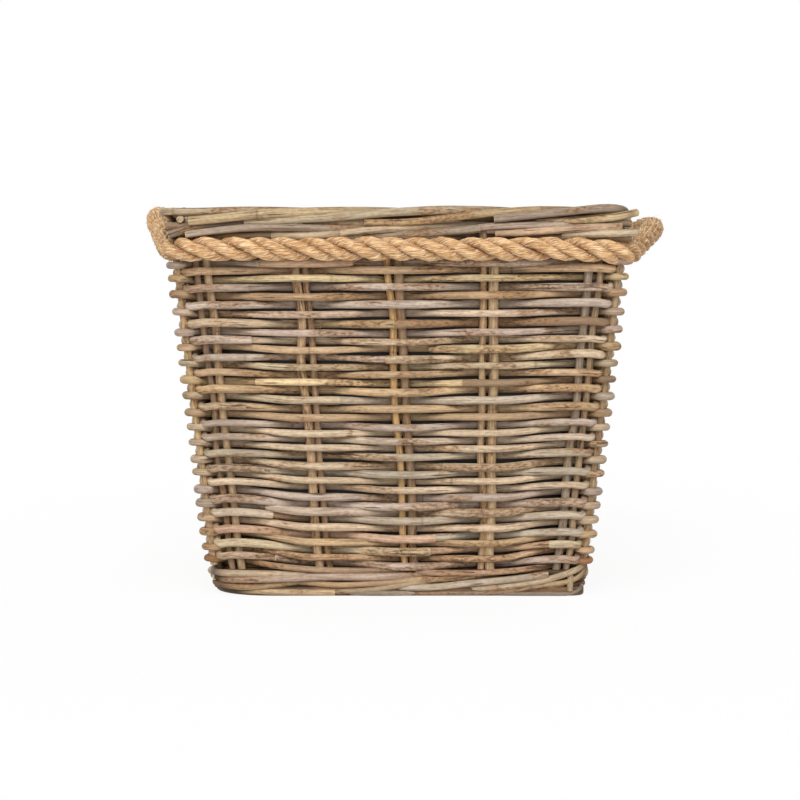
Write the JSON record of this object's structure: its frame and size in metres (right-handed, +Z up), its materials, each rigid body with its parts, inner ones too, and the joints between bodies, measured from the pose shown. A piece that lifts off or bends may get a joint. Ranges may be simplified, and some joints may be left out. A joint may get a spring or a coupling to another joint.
{
  "type": "rattan planter",
  "caption": "Square flared planter basket of woven rattan cane with a rolled border, a thick rope band that rises into side handles, and a loose plastic liner.",
  "frame": {"origin": "middle of the footprint, on the surface that the planter stands on", "axes": "+Z up, -Y out of the pictured front, +X from the left handle to the right handle"},
  "size_m": [0.4768, 0.4292, 0.336],
  "materials": {
    "stake_cane": "satin",
    "weaving_cane": "satin",
    "foot_cane": "satin",
    "rope": "matte",
    "liner_plastic": "matte"
  },
  "bodies": {
    "basket": {"corner_post_back_left": "stake_cane", "corner_post_back_right": "stake_cane", "corner_post_front_left": "stake_cane", "corner_post_front_right": "stake_cane", "foot_hoop": "foot_cane", "foot_wale_1": "foot_cane", "foot_wale_2": "foot_cane", "foot_wale_3": "foot_cane", "rope_back": "rope", "rope_front": "rope", "stake_front_back_1a": "stake_cane", "stake_front_back_1b": "stake_cane", "stake_front_back_2a": "stake_cane", "stake_front_back_2b": "stake_cane", "stake_front_back_3a": "stake_cane", "stake_front_back_3b": "stake_cane", "stake_front_back_4a": "stake_cane", "stake_front_back_4b": "stake_cane", "stake_front_back_5a": "stake_cane", "stake_front_back_5b": "stake_cane", "stake_side_side_1a": "stake_cane", "stake_side_side_1b": "stake_cane", "stake_side_side_2a": "stake_cane", "stake_side_side_2b": "stake_cane", "stake_side_side_3a": "stake_cane", "stake_side_side_3b": "stake_cane", "stake_side_side_4a": "stake_cane", "stake_side_side_4b": "stake_cane", "stake_side_side_5a": "stake_cane", "stake_side_side_5b": "stake_cane", "weaver_a_1": "weaving_cane", "weaver_a_2": "weaving_cane", "weaver_a_3": "weaving_cane", "weaver_a_4": "weaving_cane", "weaver_a_5": "weaving_cane", "weaver_b_1": "weaving_cane", "weaver_b_2": "weaving_cane", "weaver_b_3": "weaving_cane", "weaver_b_4": "weaving_cane", "weaver_b_5": "weaving_cane"},
    "handle_left": {"rope_handle_left": "rope"},
    "handle_right": {"rope_handle_right": "rope"},
    "liner": {"liner": "liner_plastic"}
  },
  "joints": [
    {"name": "left_handle_swing", "type": "hinge", "parent": "basket", "child": "handle_left", "pos_m": [-0.20459, 0, 0.295], "axis": [0, 1, 0], "range_deg": [-66, 6]},
    {"name": "right_handle_swing", "type": "hinge", "parent": "basket", "child": "handle_right", "pos_m": [0.20459, 0, 0.295], "axis": [0, -1, 0], "range_deg": [-56, 16]},
    {"name": "liner_lift", "type": "slide", "parent": "basket", "child": "liner", "axis": [0, 0, 1], "range_m": [0, 0.33]}
  ]
}
